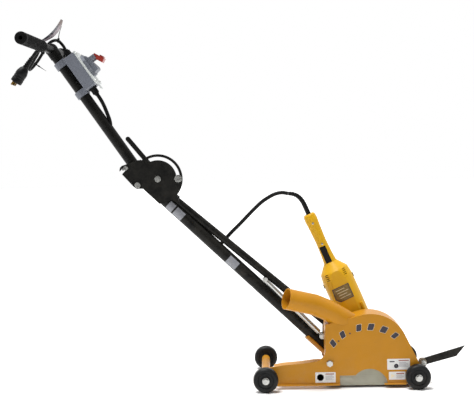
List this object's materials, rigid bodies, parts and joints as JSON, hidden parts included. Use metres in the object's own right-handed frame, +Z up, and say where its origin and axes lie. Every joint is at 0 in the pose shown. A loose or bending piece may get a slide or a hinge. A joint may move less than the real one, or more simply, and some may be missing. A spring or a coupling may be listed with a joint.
{
  "type": "walk-behind concrete saw",
  "caption": "Walk-behind concrete saw: an angle grinder in a wheeled blade guard, lowered by a hand lever on a folding T-handle.",
  "frame": {"origin": "on the floor under the middle of the machine, its leads left out", "axes": "+X forward to the pointer, +Y away from the guard's open face, +Z up"},
  "size_m": [1.1556, 0.61, 0.9675],
  "materials": {
    "yellow_paint": "satin powder coat",
    "black_paint": "satin powder coat",
    "zinc_steel": "zinc plated",
    "clear_window": "clear sheet",
    "black_wheel": "hard rubber",
    "grip_rubber": "soft ribbed rubber",
    "lead_rubber": "smooth rubber",
    "yellow_plastic": "fine grained",
    "black_plastic": "fine grained",
    "grey_plastic": "fine grained",
    "pale_plastic": "fine grained",
    "red_plastic": "moulded",
    "cast_alloy": "die cast",
    "blade_steel": "ground",
    "dark_steel": "hardened",
    "bracket_steel": "dusty paint",
    "copper": "wound wire",
    "brass": "drawn",
    "paper": "coated card"
  },
  "bodies": {
    "base": {"side_plate": "yellow_paint", "guard_rim": "yellow_paint", "far_plate": "yellow_paint", "dust_port": "yellow_paint", "view_window": "clear_window", "handle_socket": "yellow_paint", "rear_axle": "yellow_paint", "front_axle": "yellow_paint", "axle_bolts": "zinc_steel", "lower_tube": "black_paint", "quadrant": "black_paint", "pivot_bolts": "zinc_steel", "frame_bolts": "zinc_steel", "pointer_bracket": "bracket_steel", "grinder_lead": "lead_rubber"},
    "rear_wheel_near": {"wheel_rear_near": "black_wheel"},
    "rear_wheel_far": {"wheel_rear_far": "black_wheel"},
    "front_wheel_near": {"wheel_front_near": "black_wheel"},
    "front_wheel_far": {"wheel_front_far": "black_wheel"},
    "pointer": {"pointer_bar": "black_paint"},
    "lever": {"lever": "black_paint"},
    "depth_stop": {"depth_stop": "zinc_steel"},
    "fold_clamp": {"fold_clamp": "zinc_steel"},
    "pushrod": {"pushrod": "black_paint"},
    "strut_upper": {"strut_rod": "zinc_steel"},
    "strut_lower": {"strut_cylinder": "zinc_steel"},
    "head": {"swing_plate": "yellow_paint", "gear_case": "cast_alloy", "motor_housing": "yellow_plastic", "handle_half_near": "yellow_plastic", "handle_half_far": "yellow_plastic", "head_screws": "zinc_steel", "brush_caps": "black_plastic", "cord_guard": "lead_rubber", "stator": "copper", "ball_bearings": "dark_steel", "switch_module": "black_plastic"},
    "blade_set": {"blade": "blade_steel", "spindle": "dark_steel", "bevel_wheel": "dark_steel", "blade_flanges": "dark_steel", "arbor_nut": "zinc_steel"},
    "rotor": {"armature": "copper", "bevel_pinion": "dark_steel"},
    "grinder_switch": {"switch_paddle": "black_plastic"},
    "spindle_lock": {"spindle_lock": "black_plastic"},
    "upper_handle": {"upper_tube": "black_paint", "t_bar": "black_paint", "grips": "grip_rubber", "switch_box": "grey_plastic", "box_cover": "pale_plastic", "tube_clamps": "grey_plastic", "switch_base": "grey_plastic", "cable_glands": "black_plastic", "box_lead": "lead_rubber", "mains_lead": "lead_rubber", "plug_body": "black_plastic", "plug_prongs": "brass", "hang_tag": "paper"},
    "stop_paddle": {"stop_paddle": "red_plastic"}
  },
  "joints": [
    {"name": "rear_wheel_near_roll", "type": "hinge", "parent": "base", "child": "rear_wheel_near", "pos_m": [0.02143, -0.1215, 0.03175], "axis": [0, 1, 0], "continuous": true},
    {"name": "rear_wheel_far_roll", "type": "hinge", "parent": "base", "child": "rear_wheel_far", "pos_m": [0.02143, 0.1215, 0.03175], "axis": [0, 1, 0], "continuous": true},
    {"name": "front_wheel_near_roll", "type": "hinge", "parent": "base", "child": "front_wheel_near", "pos_m": [0.40843, -0.112, 0.03175], "axis": [0, 1, 0], "continuous": true},
    {"name": "front_wheel_far_roll", "type": "hinge", "parent": "base", "child": "front_wheel_far", "pos_m": [0.40843, 0.112, 0.03175], "axis": [0, 1, 0], "continuous": true},
    {"name": "pointer_fold", "type": "hinge", "parent": "base", "child": "pointer", "pos_m": [0.42943, -0.0575, 0.056], "axis": [0, -1, 0], "range_deg": [0, 75]},
    {"name": "lever_swing", "type": "hinge", "parent": "base", "child": "lever", "pos_m": [-0.24997, -0.018, 0.5452], "axis": [0, -1, 0], "range_deg": [-100, 0]},
    {"name": "head_tilt", "type": "hinge", "parent": "base", "child": "head", "pos_m": [0.18593, 0.02, 0.0655], "axis": [0, -1, 0], "range_deg": [-15.5, 0]},
    {"name": "pushrod_swing", "type": "hinge", "parent": "head", "child": "pushrod", "pos_m": [0.18527, 0, 0.15105], "axis": [0, -1, 0], "range_deg": [0, 16.72]},
    {"name": "strut_swing", "type": "hinge", "parent": "pushrod", "child": "strut_upper", "pos_m": [0.02543, -0.017, 0.2724], "axis": [0, -1, 0], "range_deg": [-4.23, 0]},
    {"name": "strut_slide", "type": "slide", "parent": "strut_upper", "child": "strut_lower", "axis": [0.6966, 0, -0.7174], "range_m": [-0.01849, 0]},
    {"name": "depth_stop_swing", "type": "hinge", "parent": "base", "child": "depth_stop", "pos_m": [-0.24997, -0.026, 0.5452], "axis": [0, -1, 0], "range_deg": [0, 60]},
    {"name": "handle_fold", "type": "hinge", "parent": "base", "child": "upper_handle", "pos_m": [-0.30357, 0, 0.5305], "axis": [0, -1, 0], "range_deg": [0, 130]},
    {"name": "fold_clamp_turn", "type": "hinge", "parent": "upper_handle", "child": "fold_clamp", "pos_m": [-0.33299, 0, 0.57579], "axis": [0, -1, 0], "range_deg": [0, 180]},
    {"name": "blade_spin", "type": "hinge", "parent": "head", "child": "blade_set", "pos_m": [0.29193, -0.062, 0.093], "axis": [0, 1, 0], "continuous": true},
    {"name": "rotor_spin", "type": "hinge", "parent": "head", "child": "rotor", "pos_m": [0.24504, 0.02, 0.20346], "axis": [-0.3907, 0, 0.9205], "continuous": true},
    {"name": "grinder_switch_press", "type": "slide", "parent": "head", "child": "grinder_switch", "axis": [0, 1, 0], "range_m": [0, 0.003], "stiffness_N_per_m": 900},
    {"name": "spindle_lock_press", "type": "slide", "parent": "head", "child": "spindle_lock", "axis": [-1, 0, 0], "range_m": [0, 0.0035], "stiffness_N_per_m": 700},
    {"name": "stop_paddle_press", "type": "hinge", "parent": "upper_handle", "child": "stop_paddle", "pos_m": [-0.41069, 0, 0.86741], "axis": [0, 1, 0], "range_deg": [0, 15], "stiffness_Nm_per_rad": 0.4}
  ],
  "couplings": [
    {"joint": "head_tilt", "follows": "lever_swing", "ratio": 0.155},
    {"joint": "pushrod_swing", "follows": "lever_swing", "ratio": -0.1672},
    {"joint": "strut_swing", "follows": "lever_swing", "ratio": 0.042321},
    {"joint": "strut_slide", "follows": "lever_swing", "m_per_rad": 0.010582},
    {"joint": "rotor_spin", "follows": "blade_spin", "ratio": 3.5}
  ]
}
